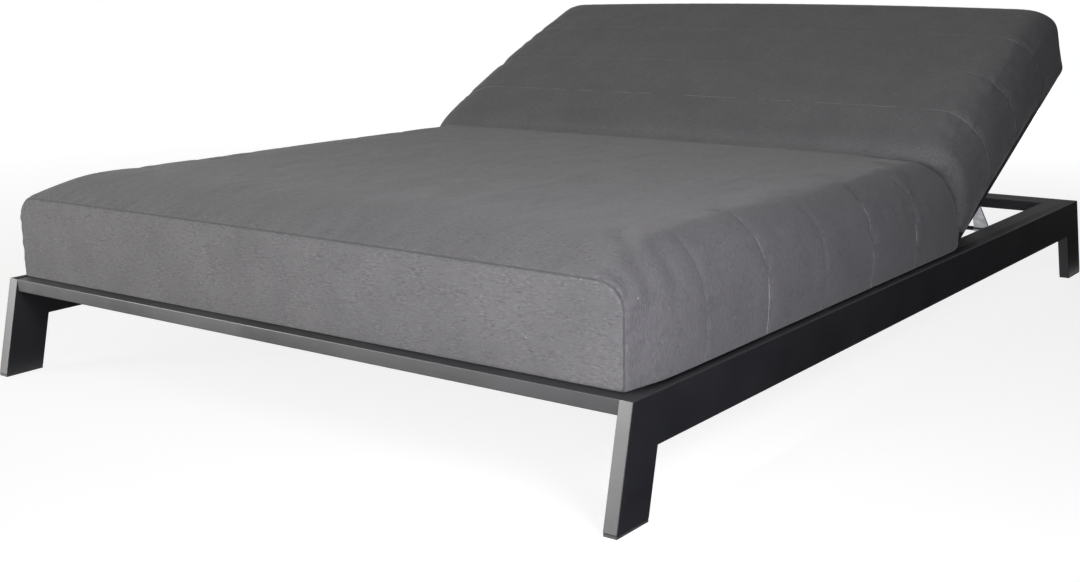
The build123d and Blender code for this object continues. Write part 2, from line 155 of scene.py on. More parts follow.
def makeGlidePlastic():
    look = glideLook
    material, tree, shader = newMaterial("blackMouldedPolypropylene")
    place = addNode(tree, "ShaderNodeTexCoord").outputs["Object"]
    worn = addNode(tree, "ShaderNodeTexNoise", {"Scale": 1 / look["wornSize"], "Detail": 3},
                   {"Vector": place}).outputs["Fac"]
    tone = addNode(tree, "ShaderNodeMix", {"data_type": "RGBA", 6: hexToLinear(look["colour"]),
                   7: hexToLinear(look["worn"])}, {0: worn}).outputs[2]
    grain = addNode(tree, "ShaderNodeTexNoise", {"Scale": 1 / look["grainSize"], "Detail": 1},
                    {"Vector": place}).outputs["Fac"]
    bump = addNode(tree, "ShaderNodeBump", {"Distance": look["grainHeight"]},
                   {"Height": grain}).outputs["Normal"]
    shader.inputs["Roughness"].default_value = look["roughness"]
    tree.links.new(tone, shader.inputs["Base Color"])
    tree.links.new(bump, shader.inputs["Normal"])
    return material


# the cushions only need some material here, because the mattress below replaces them
coat, steel, glidePlastic = makeCoat(), makeSteel(), makeGlidePlastic()
finishes = {"charcoal_frame": coat, "steel_fittings": steel, "foot_plastic": glidePlastic,
            "cushion_fabric": coat}
for part in frame["record"]["subparts"]:
    node = nodes[part["node"]]
    node.data.materials.clear()
    node.data.materials.append(finishes[part["material_slot"]])

# Square tubes: the CAD tubes with their welds run together and their edges rounded as drawn tube is.
# Edges that lie flush against a neighbour at the inside of a side frame stay sharp.
tubes = {"edgeRound": 0.0016, "roundSteps": 2, "flushX": 0.725, "flushAbove": 0.16, "near": 0.0003,
         "flatAngle": 1}


def copyHull(name):
    # the outer box of one hollow CAD tube
    bm = bmesh.new()
    bm.from_mesh(nodes[name].data)
    bmesh.ops.remove_doubles(bm, verts=bm.verts, dist=tubes["near"])
    made = bmesh.ops.convex_hull(bm, input=bm.verts, use_existing_faces=False)
    keep = {f for f in made["geom"] if isinstance(f, bmesh.types.BMFace)}
    spare = [v for v in bm.verts if not any(v in f.verts for f in keep)]
    bmesh.ops.delete(bm, geom=spare, context="VERTS")
    bmesh.ops.delete(bm, geom=[f for f in bm.faces if f not in keep], context="FACES_ONLY")
    bmesh.ops.dissolve_limit(bm, angle_limit=math.radians(tubes["flatAngle"]), verts=bm.verts, edges=bm.edges)
    mesh = bpy.data.meshes.new(name)
    bm.to_mesh(mesh)
    bm.free()
    return mesh


def makeTube(pieceName, names, body):
    # one welded piece from the outer boxes of its tubes
    parts = []
    for name in names:
        part = bpy.data.objects.new(name + "_outer", copyHull(name))
        bpy.context.scene.collection.objects.link(part)
        parts.append(part)
    deselectAll()
    for part in parts:
        part.select_set(True)
    bpy.context.view_layer.objects.active = parts[0]
    if len(parts) > 1:
        bpy.ops.object.join()
    piece = bpy.context.view_layer.objects.active
    piece.name = pieceName
    bpy.ops.object.mode_set(mode="EDIT")
    bpy.ops.mesh.select_all(action="SELECT")
    bpy.ops.mesh.remove_doubles(threshold=tubes["near"])
    bpy.ops.mesh.select_all(action="DESELECT")
    bpy.ops.mesh.select_interior_faces()
    bpy.ops.mesh.delete(type="FACE")
    bpy.ops.mesh.select_all(action="SELECT")
    bpy.ops.mesh.dissolve_limited(angle_limit=math.radians(tubes["flatAngle"]))
    bpy.ops.mesh.normals_make_consistent(inside=False)
    bpy.ops.object.mode_set(mode="OBJECT")

    mesh = piece.data
    rounded = []
    for edge in mesh.edges:
        ends = [mesh.vertices[v].co for v in edge.vertices]
        flush = all(abs(abs(p.x) - tubes["flushX"]) < tubes["near"] for p in ends)
        flush = flush and all(p.z > tubes["flushAbove"] for p in ends)
        flush = flush and abs(ends[0].x - ends[1].x) < tubes["near"]
        rounded.append(0.0 if flush else 1.0)
    mesh.attributes.new("bevel_weight_edge", "FLOAT", "EDGE").data.foreach_set("value", rounded)
    bevel = piece.modifiers.new("edgeRound", "BEVEL")
    bevel.width = tubes["edgeRound"]
    bevel.segments = tubes["roundSteps"]
    bevel.limit_method = "WEIGHT"
    piece.modifiers.new("flatFaces", "WEIGHTED_NORMAL")
    bpy.ops.object.shade_smooth()
    applyModifiers(piece)
    mesh.materials.clear()
    mesh.materials.append(coat)
    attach(piece, body)
    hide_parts(*names)


def makeTubes():
    for side in ("left", "right"):
        names = [side + "_side_rail", "front_" + side + "_leg", "rear_" + side + "_leg"]
        makeTube(side + "SideFrame", names, "base")
    base = ["front_rail", "rear_rail", "hinge_rail", "centre_beam"]
    base += [n for n in nodes if n.startswith("seat_slat")]
    back = [n for n in nodes if n.startswith("backrest_")]
    for body, names in (("base", base), ("backrest", back)):
        for name in names:
            makeTube(name + "_tube", [name], body)
    print("tubes rounded:", len(base) + len(back) + 6)


makeTubes()


# Olefin cover cloth: a mid-grey heather, nubby and a little crinkled, with fine short slubs across
# the mattress, a few pale flecks, and seams that show as a thin broken pale thread in a shallow crease,
# with painted shade darkening the crease beside each cross seam and along the front panel's seam.
# The slubs are about 1 mm thick in the cloth, and drawn 1.8 mm thick so that they can be seen.
clothLook = {"colour": "#6a6a6b", "paler": "#828283", "darker": "#4b4b4d", "fleck": "#a5a3a0",
             # the crease colour is painted shade, darkening the cloth in the seams' grooves
             "thread": "#bab8b5", "crease": "#39393b", "roughness": 0.93, "specular": 0.2, "sheen": 0.16,
             # from a seam's middle: full thread, thread's edge, thread gone, painted crease shade gone
             "threadCore": 0.0004, "threadHalf": 0.0008, "threadFades": 0.00144, "paintedShadeHalf": 0.003,
             # how much of the thread shows, and of the painted shade beside the cross seams and along the
             # front panel's seam
             "threadShows": 0.9, "seamShadeShows": 0.2, "frontShadeShows": 0.6,
             # full on the sides, less on the top of the seat, the back and the head
             "sideFrom": 0.62, "sideTo": 0.7, "seatTo": (1.2, 1.4), "headFrom": (1.5, 1.6),
             "onSeat": 0.3, "onBack": 0.6, "onHead": 0.25, "bumpStrength": 0.65}
# noises laid on the cloth: size across and along the mattress, detail, place, and how it comes in, from
# two of its values to the least and the most that shows
clothLook["noises"] = {
    "patch": {"size": (0.035, 0.0245), "detail": 3, "place": 61, "from": (0.35, 0.65), "to": (0.15, 1)},
    "paleSlub": {"size": (0.013, 0.0018), "detail": 2, "place": 3, "from": (0.48, 0.76), "to": (0, 1)},
    "darkNub": {"size": (0.00715, 0.00385), "detail": 4, "place": 37, "from": (0.42, 0.72), "to": (0, 0.75)},
    "paleNub": {"size": (0.0099, 0.00275), "detail": 3, "place": 47, "from": (0.52, 0.75), "to": (0, 0.8)},
    "darkSlub": {"size": (0.0182, 0.0018), "detail": 2, "place": 11, "from": (0.5, 0.8), "to": (0, 1)},
    "warpSlub": {"size": (0.0018, 0.0078), "detail": 1, "place": 17, "from": (0.52, 0.8), "to": (0, 0.3)},
    "streak": {"size": (0.045, 0.00216), "detail": 2, "place": 29, "from": (0.62, 0.74), "to": (0, 0.7)},
    "cloud": {"size": (0.11, 0.11), "detail": 4, "place": 5, "from": (0.35, 0.65), "to": (0, 0.25)},
    "fleck": {"size": (0.012, 0.006), "detail": 1, "place": 23, "from": (0.76, 0.82), "to": (0, 0.7)},
    "stitch": {"size": (0.007, 0.007), "detail": 0, "place": 31, "from": (0.3, 0.5), "to": (0.3, 1)},
    "stitchRun": {"size": (0.05, 0.05), "detail": 0, "place": 71, "from": (0.35, 0.6), "to": (0.1, 1)},
    "ripple": {"size": (0.085, 0.119), "detail": 2, "place": 41, "height": 0.006},
    "crinkle": {"size": (0.02, 0.026), "detail": 3, "place": 43, "height": 0.0016},
    "weave": {"size": (0.0052, 0.0022), "detail": 1, "place": 51, "height": 0.0004},
}
# laid over the plain cloth one after the other: the colour, and what decides its share; the crease
# colour is painted shade beside the seams
clothLook["shades"] = (
    ("paler", "paleSlub", "patch"), ("darker", "darkNub", "patch"), ("paler", "paleNub", "patch"),
    ("darker", "darkSlub", "patch"), ("paler", "warpSlub"), ("darker", "streak"), ("darker", "cloud"),
    ("fleck", "fleck"), ("crease", "seamPaintedShade", "onSide"),
    ("thread", "seamThread", "stitch", "stitchRun", "onSide"), ("crease", "frontPaintedShade"),
)


def makeCloth():
    look = clothLook
    material, tree, shader = newMaterial("heatheredOlefinCloth")
    cover = addNode(tree, "ShaderNodeUVMap", {"uv_map": "cover"}).outputs["UV"]

    shown = {}
    for name, kind in look["noises"].items():
        width, length = kind["size"]
        place = kind["place"]
        laid = addNode(tree, "ShaderNodeMapping", {"Scale": (1 / width, 1 / length, 1),
                       "Location": (place, place * 0.7, place)}, {"Vector": cover}).outputs["Vector"]
        shown[name] = addNode(tree, "ShaderNodeTexNoise", {"Scale": 1, "Detail": kind["detail"],
                              "Roughness": 0.55}, {"Vector": laid}).outputs["Fac"]

    # the thread and the painted crease shade by the distance to a seam, and how much of them shows in each
    # zone
    gap = addNode(tree, "ShaderNodeAttribute", {"attribute_name": "seamGap"}).outputs["Fac"]
    frontGap = addNode(tree, "ShaderNodeAttribute", {"attribute_name": "frontGap"}).outputs["Fac"]
    ways = addNode(tree, "ShaderNodeSeparateXYZ", None, {0: cover}).outputs
    across = addNode(tree, "ShaderNodeMath", {"operation": "ABSOLUTE"}, {0: ways["X"]}).outputs[0]
    paintedShadeReach = look["threadHalf"], look["paintedShadeHalf"]
    ranges = [(name, shown[name], kind["from"], kind["to"])
              for name, kind in look["noises"].items() if "from" in kind]
    ranges += [("seat", ways["Y"], look["seatTo"], (look["onSeat"], 1)),
               ("head", ways["Y"], look["headFrom"], (look["onBack"], look["onHead"])),
               ("seamThread", gap, (look["threadCore"], look["threadFades"]), (look["threadShows"], 0)),
               ("seamPaintedShade", gap, paintedShadeReach, (look["seamShadeShows"], 0)),
               ("frontPaintedShade", frontGap, paintedShadeReach, (look["frontShadeShows"], 0))]
    for name, value, (low, high), (least, most) in ranges:
        shown[name] = addNode(tree, "ShaderNodeMapRange", {"From Min": low, "From Max": high, "To Min": least,
                              "To Max": most}, {"Value": value}).outputs["Result"]
    onTop = addNode(tree, "ShaderNodeMath", {"operation": "MULTIPLY"}, {0: shown["seat"], 1: shown["head"]})
    onSide = addNode(tree, "ShaderNodeMapRange", {"From Min": look["sideFrom"], "From Max": look["sideTo"],
                     "To Max": 1}, {"Value": across, "To Min": onTop.outputs[0]})
    shown["onSide"] = onSide.outputs["Result"]

    tone = None
    for colour, first, *others in look["shades"]:
        share = shown[first]
        for name in others:
            share = addNode(tree, "ShaderNodeMath", {"operation": "MULTIPLY"},
                            {0: share, 1: shown[name]}).outputs[0]
        mix = addNode(tree, "ShaderNodeMix", {"data_type": "RGBA", 6: hexToLinear(look["colour"]),
                      7: hexToLinear(look[colour])}, {0: share})
        if tone:
            tree.links.new(tone, mix.inputs[6])
        tone = mix.outputs[2]

    bump = None
    for name in ("ripple", "crinkle", "weave"):
        links = {"Height": shown[name]}
        if bump:
            links["Normal"] = bump
        bump = addNode(tree, "ShaderNodeBump", {"Distance": look["noises"][name]["height"],
                       "Strength": look["bumpStrength"]}, links).outputs["Normal"]
    shader.inputs["Roughness"].default_value = look["roughness"]
    shader.inputs["Specular IOR Level"].default_value = look["specular"]
    shader.inputs["Sheen Weight"].default_value = look["sheen"]
    for socket, source in (("Base Color", tone), ("Normal", bump)):
        tree.links.new(source, shader.inputs[socket])
    return material


# The mattress: one cover from the feet end to the top of the backrest, folded at the hinge.
# Places run along the cover from the front panel, heights stand over the hinge line.
mattress = {
    "front": -0.9835, "hinge": (0.2935, 0.2013), "recline": 26.8, "backLength": 0.706,
    "seatFloor": -0.0079, "backFloor": 0.0084, "hingeFloor": 0.0105, "hingeFloorHalf": 0.016,
    "floorFrom": -0.034, "floorTo": 0.026, "blendReach": 0.08,
    # the fold: the top sinks in, more so at the right side, and the sides are drawn in
    "foldSpread": 0.26, "foldAt": -0.018, "foldHalf": 0.05, "foldDepth": 0.008, "foldDepthLeft": 0.006,
    "foldDepthRight": 0.038, "deepensFrom": 0.7, "deepensOver": 0.26, "foldDrawLeft": 0.004,
    "foldDrawRight": 0.04, "drawBeforeFold": 0.036, "drawPastFold": 0.05, "drawLean": 0.013,
    "drawRise": 0.06, "lowerCornerLift": 0.034, "lowerCornerHalf": 0.045, "lowerCornerFrom": 0.93,
    "lowerCornerOver": 0.07,
    # rounds and bulges of the other edges
    "bottomRound": 0.006, "frontRound": 0.006, "rearRound": 0.017, "frontBulge": 0.005,
    "rearBulge": 0.004, "sideWidestAt": 0.055, "roundPower": 2.4, "topTo": 0.84, "topFades": 0.14,
    # cross seams, and how far from a seam the distance to it is kept
    "seams": (0.2, 0.4025, 0.605, 0.8075, 1.01, 1.443, 1.623, 1.803), "gapKept": 0.05,
    # top of the cover along its middle: place, height over the hinge line
    "topHeights": (
        (0, 0.1592), (0.024, 0.1672), (0.048, 0.1765), (0.072, 0.185), (0.096, 0.1905), (0.13, 0.1947),
        (0.218, 0.1945), (0.429, 0.1915), (0.729, 0.188), (1.125, 0.183), (1.235, 0.183), (1.3, 0.1965),
        (1.39, 0.1995), (1.637, 0.1975), (1.823, 0.19), (1.927, 0.1845), (1.983, 0.1815)),
    # place, left and right half width, crown across, width and height of the shoulder, draw-in below
    "sections": (
        (0, 0.735, 0.72, 0.003, 0.058, 0.044, 0), (0.1, 0.738, 0.736, 0.003, 0.095, 0.11, 0.003),
        (0.17, 0.738, 0.738, 0.003, 0.11, 0.135, 0.004), (1.2, 0.738, 0.738, 0.003, 0.11, 0.135, 0.004),
        (1.4, 0.738, 0.736, 0.004, 0.1, 0.12, 0.021), (1.75, 0.733, 0.733, 0.008, 0.08, 0.1, 0.02),
        (1.983, 0.72, 0.722, 0.011, 0.085, 0.055, -0.003)),
    # the cloth of the top lies a little further back than that of the sides: place, shift
    "topShifts": ((0, 0), (0.2, 0.03), (1.0, 0.03), (1.259, 0), (1.46, 0.03), (1.8, 0.02), (1.983, 0)),
}
# edge loops: turns of the end rounds, places behind the front, beside each seam and at the fold, and
# across and up as shares of the half width and the height: from, to, how many
mattress["loops"] = {
    "frontTurns": (0, 22.5, 45, 67.5, 90), "rearTurns": (0, 25, 45, 65, 90),
    "behindFront": (0.013, 0.019, 0.027, 0.037, 0.049, 0.063, 0.078, 0.094, 0.112, 0.13),
    "besideSeam": (-0.014, -0.008, -0.004, -0.0016, 0, 0.0016, 0.004, 0.008, 0.014),
    "foldStep": 0.0045, "foldPower": 1.18, "beforeFold": 9, "pastFold": 11,
    "closest": 0.0004, "furthest": 0.018,
    "across": ((0, 0.86, 36), (0.86, 0.95, 8), (0.95, 1, 7)),
    "up": ((0.08, 0.4, 6), (0.4, 1, 17)), "foot": (0, 0.018, 0.045),
}
# pressed into the finished form: depth, half width and, on the top, the share that is left of it
mattress["press"] = {
    "depth": 0.0032, "half": 0.0075, "onSeat": 0.1, "onBack": 0.3, "backFrom": 1.3, "sideFrom": 0.62,
    "sideOver": 0.09, "frontDepth": 0.0017, "frontHalf": 0.0045, "puckerHeight": 0.0014,
    "puckerLength": 0.047, "puckerReach": 0.018, "puckerTurn": 9, "puckerParts": (1, 1.7, 2.9),
    "puckerClear": 0.004,
}
# soft creases that the photograph shows, over the cloth: across from the middle, and along
mattress["creases"] = (
    {"path": ((0.6, 0.044), (0.635, 0.038), (0.666, 0.03), (0.697, 0.022), (0.72, 0.02)),
     "depth": 0.0042, "half": 0.009},
    {"path": ((0.6, 0.14), (0.66, 0.1), (0.683, 0.079), (0.711, 0.064), (0.76, 0.062)),
     "depth": 0.005, "half": 0.013},
    {"path": ((0.6, 1.13), (0.668, 1.094), (0.698, 1.062), (0.735, 1.05)), "depth": 0.005, "half": 0.01},
    {"path": ((0.59, 0.852), (0.651, 0.832), (0.69, 0.846)), "depth": 0.0042, "half": 0.009},
    {"path": ((0.387, -0.003), (0.384, -0.028)), "depth": 0.0013, "half": 0.004},
    {"path": ((0.64, 1.263), (0.74, 1.257), (0.95, 1.243)), "depth": 0.016, "half": 0.007},
    {"path": ((-0.68, 1.261), (-0.74, 1.259), (-0.92, 1.259)), "depth": 0.003, "half": 0.006},
)
# small random ones on both shoulders: how many beside each seam, how far out and along they start, how
# far they run across and along
mattress["pulls"] = {
    "seed": 7, "perSeam": 8, "from": 0.6, "to": 0.84, "beside": 0.09, "runAcross": (0.03, 0.09),
    "runAlong": 0.02, "depth": (0.0015, 0.0042), "half": (0.006, 0.012),
}


def smoothStep(x):
    x = np.clip(x, 0, 1)
    return x * x * (3 - 2 * x)


def smoothTable(table, places):
    # values between a table's rows, eased so that no row shows as a kink
    rows = np.array(table)
    at = np.clip(np.searchsorted(rows[:, 0], places, side="right") - 1, 0, len(rows) - 2)
    share = smoothStep((places - rows[at, 0]) / (rows[at + 1, 0] - rows[at, 0]))[:, None]
    return (rows[at, 1:] * (1 - share) + rows[at + 1, 1:] * share).T


def curveTable(table, places):
    # a smooth curve through a table's rows
    rows = np.array(table)
    slopes = np.gradient(rows[:, 1], rows[:, 0])
    at = np.clip(np.searchsorted(rows[:, 0], places, side="right") - 1, 0, len(rows) - 2)
    gap = rows[at + 1, 0] - rows[at, 0]
    u = (places - rows[at, 0]) / gap
    return (rows[at, 1] * (2 * u**3 - 3 * u**2 + 1) + rows[at + 1, 1] * (3 * u**2 - 2 * u**3)
            + gap * (slopes[at] * (u**3 - 2 * u**2 + u) + slopes[at + 1] * (u**3 - u**2)))


def loopPlaces(length, hingeAt, seams):
    # edge loops along the mattress, close together at the ends, the seams and the fold
    form, loops = mattress, mattress["loops"]
    places = [form["frontRound"] * (1 - math.cos(math.radians(a))) for a in loops["frontTurns"]]
    places += loops["behindFront"]
    places += [length - form["rearRound"] * (1 - math.cos(math.radians(a))) for a in loops["rearTurns"]]
    places += [seam + gap for seam in seams for gap in loops["besideSeam"]]
    for n in range(-loops["beforeFold"], loops["pastFold"] + 1):
        step = math.copysign(loops["foldStep"] * abs(n) ** loops["foldPower"], n)
        places.append(hingeAt + form["foldAt"] + step)
    ordered = sorted(places)
    kept = [0.0] + [b for a, b in zip(ordered, ordered[1:]) if b - a > loops["closest"]]
    filled = []
    for a, b in zip(kept, kept[1:]):
        cuts = max(1, math.ceil((b - a) / loops["furthest"]))
        filled += [a + (b - a) * n / cuts for n in range(cuts)]
    return np.array(filled + [length])


def cutAlong(piece, axis, cuts):
    # even loops across every edge that runs along one axis
    bm = bmesh.from_edit_mesh(piece.data)
    for edge in bm.edges:
        way = edge.verts[1].co - edge.verts[0].co
        edge.select_set(abs(way[axis]) > 0.5 * way.length)
    bmesh.update_edit_mesh(piece.data)
    bpy.ops.mesh.subdivide(number_cuts=cuts)


def roundCorner(x, y, cornerX, cornerY, radiusX, radiusY):
    # a box corner pressed onto a rounded curve that starts softly, x and y measured outward
    u = (x - (cornerX - radiusX)) / radiusX
    v = (y - (cornerY - radiusY)) / radiusY
    inside = (u > 0) & (v > 0)
    longest = np.where(inside, np.maximum(u, v), 1)
    power = mattress["roundPower"]
    size = np.where(inside, (np.clip(u, 0, None) ** power + np.clip(v, 0, None) ** power) ** (1 / power), 1)
    return (np.where(inside, cornerX - radiusX + u * longest / size * radiusX, x),
            np.where(inside, cornerY - radiusY + v * longest / size * radiusY, y))


def foldCover(s, x, h):
    # from the flat cover to the reclined one: both legs meet on the plane halfway between them
    form = mattress
    recline = math.radians(form["recline"])
    past = s - (form["hinge"][0] - form["front"])
    shift = h * math.tan(recline / 2) * np.clip(1 - np.abs(past) / form["foldSpread"], 0, 1)
    seat = np.stack([x, form["hinge"][0] + past - shift, form["hinge"][1] + h], 1)
    along = past + shift
    back = np.stack([x, form["hinge"][0] + along * math.cos(recline) - h * math.sin(recline),
                     form["hinge"][1] + along * math.sin(recline) + h * math.cos(recline)], 1)
    return np.where((past > 0)[:, None], back, seat)


def layCloth(piece, steps, x, s, height):
    # UV in metres over the cloth: across the mattress and down its sides, and along it
    rows, columns, layers = (n.max() + 1 for n in steps)
    grid = np.full((rows, columns, layers), -1)
    grid[tuple(steps)] = np.arange(len(x))
    u = np.zeros(len(x))
    middle = rows // 2
    for way in (1, -1):
        ring = [grid[i, :, -1] for i in range(middle, rows if way > 0 else -1, way)]
        ring += [grid[-1 if way > 0 else 0, :, k] for k in range(layers - 2, -1, -1)]
        for before, after in zip(ring, ring[1:]):
            u[after] = u[before] + way * np.hypot(x[after] - x[before], height[after] - height[before])
    corners = np.empty(len(piece.data.loops), dtype=int)
    piece.data.loops.foreach_get("vertex_index", corners)
    corners = corners.reshape(-1, 4)
    uv = np.stack([u[corners], s[corners]], 2)
    ends = [(steps[1][corners] == end).all(1) for end in (0, columns - 1)]
    below = (steps[2][corners] == 0).all(1)
    for chosen, along in ((ends[0], -height), (ends[1], s.max() + height), (below, s)):
        uv[chosen] = np.stack([x[corners[chosen]], along[corners[chosen]]], 2)
    piece.data.uv_layers.new(name="cover").data.foreach_set("uv", uv.reshape(-1))
    return u


def nearPath(path, u, s):
    # distance over the cloth to a line of points
    points = np.array(path)
    spot = np.stack([u, s], 1)
    gaps = []
    for start, end in zip(points, points[1:]):
        way = end - start
        share = np.clip((spot - start) @ way / (way @ way), 0, 1)[:, None]
        gaps.append(np.linalg.norm(spot - start - share * way, axis=1))
    return np.min(gaps, axis=0)


def coverForm(a, s, t, length, hingeAt):
    # the foam's form: across, along and over the hinge line, for each place of the flat cover
    form = mattress
    past = s - hingeAt
    side = np.abs(a)
    leftSide = a < 0
    nearFold = np.clip(1 - np.abs(past - form["foldAt"]) / form["foldHalf"], 0, 1) ** 2
    inset = np.zeros_like(s)
    for edge, radius in ((s, form["frontRound"]), (length - s, form["rearRound"])):
        within = np.clip(1 - edge / radius, 0, 1)
        inset += radius * (1 - np.sqrt(1 - within**2))

    leftHalf, rightHalf, crown, roundX, roundZ, drawBelow = smoothTable(form["sections"], s)
    overHinge = form["hingeFloorHalf"]
    floor = np.interp(past, (form["floorFrom"], -overHinge, overHinge, form["floorTo"]),
                      (form["seatFloor"], form["hingeFloor"], form["hingeFloor"], form["backFloor"]))
    nearCorner = np.clip(1 - np.abs(past - form["foldAt"]) / form["lowerCornerHalf"], 0, 1) ** 2
    nearEdge = smoothStep((side - form["lowerCornerFrom"]) / form["lowerCornerOver"])
    floor = floor + form["lowerCornerLift"] * nearCorner * nearEdge + inset
    sideDepth = np.where(leftSide, form["foldDepthLeft"], form["foldDepthRight"])
    deeper = smoothStep((side - form["deepensFrom"]) / form["deepensOver"])
    foldDrop = (form["foldDepth"] + (sideDepth - form["foldDepth"]) * deeper) * nearFold
    top = curveTable(form["topHeights"], s) - crown * side**2 - foldDrop - inset
    thick = top - floor
    rise = t * thick

    below = drawBelow * (1 - np.sin(np.clip(rise / form["sideWidestAt"], 0, 1) * math.pi / 2))
    # the sides are drawn in at the fold, more steeply on the seat's part, and lower down further forward
    fromDraw = past - form["foldAt"] + form["drawLean"] * (1 - t)
    drawReach = np.where(fromDraw > 0, form["drawPastFold"], form["drawBeforeFold"])
    nearDraw = np.clip(1 - np.abs(fromDraw) / drawReach, 0, 1) ** 2
    foldDraw = np.where(leftSide, form["foldDrawLeft"], form["foldDrawRight"]) * nearDraw
    foldDraw = foldDraw * smoothStep(rise / form["drawRise"])
    half = np.where(leftSide, leftHalf, rightHalf) - inset - foldDraw - below
    x, rise = roundCorner(side * half, rise, half, thick, roundX, roundZ)
    x, drop = roundCorner(x, thick - rise, half, thick, form["bottomRound"], form["bottomRound"])

    onTop = 1 - smoothStep((side - form["topTo"]) / form["topFades"])
    bulge = (1 - side**4) * (1 - np.abs(2 * t - 1) ** 3)
    along = s + np.interp(s, *np.array(form["topShifts"]).T) * onTop * smoothStep(t)
    along = along - form["frontBulge"] * bulge * (s == 0) + form["rearBulge"] * bulge * (s == length)
    return np.sign(a) * x, along, floor + thick - drop, top, half


def readPoints(mesh, name, width):
    values = np.empty(len(mesh.vertices) * width)
    mesh.attributes[name].data.foreach_get("value" if width == 1 else "vector", values)
    return values if width == 1 else values.reshape(-1, width)


def pressCover(piece):
    # seams, puckers along them and soft creases, pressed in square to the cloth
    mesh, press, pulls = piece.data, mattress["press"], mattress["pulls"]
    u, s, share = readPoints(mesh, "coverPlace", 3).T
    seamGap, frontGap = readPoints(mesh, "seamGap", 1), readPoints(mesh, "frontGap", 1)
    onTop = np.where(s > press["backFrom"], press["onBack"], press["onSeat"])
    onSide = onTop + (1 - onTop) * smoothStep((np.abs(u) - press["sideFrom"]) / press["sideOver"])
    push = -press["depth"] * onSide * np.exp(-(seamGap / press["half"]) ** 2)
    push -= press["frontDepth"] * np.exp(-(frontGap / press["frontHalf"]) ** 2)
    wave = sum(np.sin(u * 2 * math.pi / press["puckerLength"] * k + s * press["puckerTurn"] * k + k) / k
               for k in press["puckerParts"])
    nearSeam = np.maximum(onSide * np.exp(-seamGap / press["puckerReach"]),
                          np.exp(-frontGap / press["puckerReach"]))
    clear = 1 - np.exp(-(np.minimum(seamGap, frontGap) / press["puckerClear"]) ** 2)
    push += press["puckerHeight"] * wave * nearSeam * clear

    chance = np.random.default_rng(pulls["seed"])
    creases = list(mattress["creases"])
    for seam in mattress["seams"]:
        for way in (-1, 1):
            for n in range(pulls["perSeam"]):
                out = way * chance.uniform(pulls["from"], pulls["to"])
                place = seam + chance.uniform(-pulls["beside"], pulls["beside"])
                runOut = way * chance.uniform(*pulls["runAcross"])
                runOn = chance.uniform(-pulls["runAlong"], pulls["runAlong"])
                creases.append({"path": ((out, place), (out + runOut, place + runOn)),
                                "depth": chance.uniform(*pulls["depth"]),
                                "half": chance.uniform(*pulls["half"])})
    for crease in creases:
        push -= crease["depth"] * np.exp(-(nearPath(crease["path"], u, s) / crease["half"]) ** 2)

    place, normal = np.empty(len(u) * 3), np.empty(len(u) * 3)
    mesh.vertices.foreach_get("co", place)
    mesh.vertex_normals.foreach_get("vector", normal)
    place += (normal.reshape(-1, 3) * (push * share)[:, None]).reshape(-1)
    mesh.vertices.foreach_set("co", place)
    mesh.update()


def makeMattress():
    form, loops = mattress, mattress["loops"]
    hingeAt = form["hinge"][0] - form["front"]
    length = hingeAt + form["backLength"]
    half = np.concatenate([np.linspace(*run)[:-1] for run in loops["across"]] + [[1]])
    across = np.concatenate([-half[:0:-1], half])
    along = loopPlaces(length, hingeAt, form["seams"])
    up = np.concatenate([loops["foot"]] + [np.linspace(*run)[:-1] for run in loops["up"]] + [[1]])

    bpy.ops.mesh.primitive_cube_add(size=1, location=(0, 0, 0))
    piece = bpy.context.object
    piece.name = "mattressCover"
    bpy.ops.object.mode_set(mode="EDIT")
    bpy.ops.mesh.select_mode(type="EDGE")
    for axis, places in enumerate((across, along, up)):
        cutAlong(piece, axis, len(places) - 2)
    bpy.ops.object.mode_set(mode="OBJECT")

    grid = np.empty(len(piece.data.vertices) * 3)
    piece.data.vertices.foreach_get("co", grid)
    grid = grid.reshape(-1, 3) + 0.5
    steps = [np.rint(grid[:, n] * (len(p) - 1)).astype(int) for n, p in enumerate((across, along, up))]
    a, s, t = across[steps[0]], along[steps[1]], up[steps[2]]
    x, moved, height, top, half = coverForm(a, s, t, length, hingeAt)
    piece.data.vertices.foreach_set("co", foldCover(moved, x, height).reshape(-1))
    u = layCloth(piece, steps, x, s, height)

    # distances over the cloth to the cross seams and to the seam round the front panel
    seamGap = np.min([np.abs(s - seam) for seam in form["seams"]], axis=0)
    turn = np.arccos(np.clip(1 - s / form["frontRound"], 0, 1))
    frontGap = np.abs(turn - math.pi / 4) * form["frontRound"] + np.clip(s - form["frontRound"], 0, None)
    onPanel = (s == 0) & (np.abs(a) < 1) & (t < 1)
    frontGap = frontGap + onPanel * np.minimum(half - np.abs(x), top - height)
    place = np.stack([np.where(onPanel, x, u), np.where(onPanel, height - top, s), 1.0 * (t > 0)], 1)
    for name, kind, values in (("seamGap", "FLOAT", np.clip(seamGap, 0, form["gapKept"])),
                               ("frontGap", "FLOAT", np.clip(frontGap, 0, form["gapKept"])),
                               ("coverPlace", "FLOAT_VECTOR", place)):
        field = "value" if kind == "FLOAT" else "vector"
        piece.data.attributes.new(name, kind, "POINT").data.foreach_set(field, values.reshape(-1))
    makeActive(piece)
    bpy.ops.object.mode_set(mode="EDIT")
    bpy.ops.mesh.select_all(action="SELECT")
    bpy.ops.mesh.normals_make_consistent(inside=False)
    bpy.ops.object.mode_set(mode="OBJECT")
    piece.modifiers.new("round", "SUBSURF").levels = 1
    applyModifiers(piece)
    pressCover(piece)
    bpy.ops.object.shade_smooth()

    turn = math.radians(form["recline"] / 2)
    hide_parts("seat_cushion", "back_cushion", "mattress_fold")
    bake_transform(piece)
    print("mattress:", len(piece.data.polygons), "faces")
    return piece


cloth = makeCloth()
makeMattress().data.materials.append(cloth)

cameraAt = {"place": (1.8402, -2.6467, 0.8131), "turn": (77.568, 0.816, 36.16), "lens": 48.537,
            "shift": (-0.02323, -0.01555)}


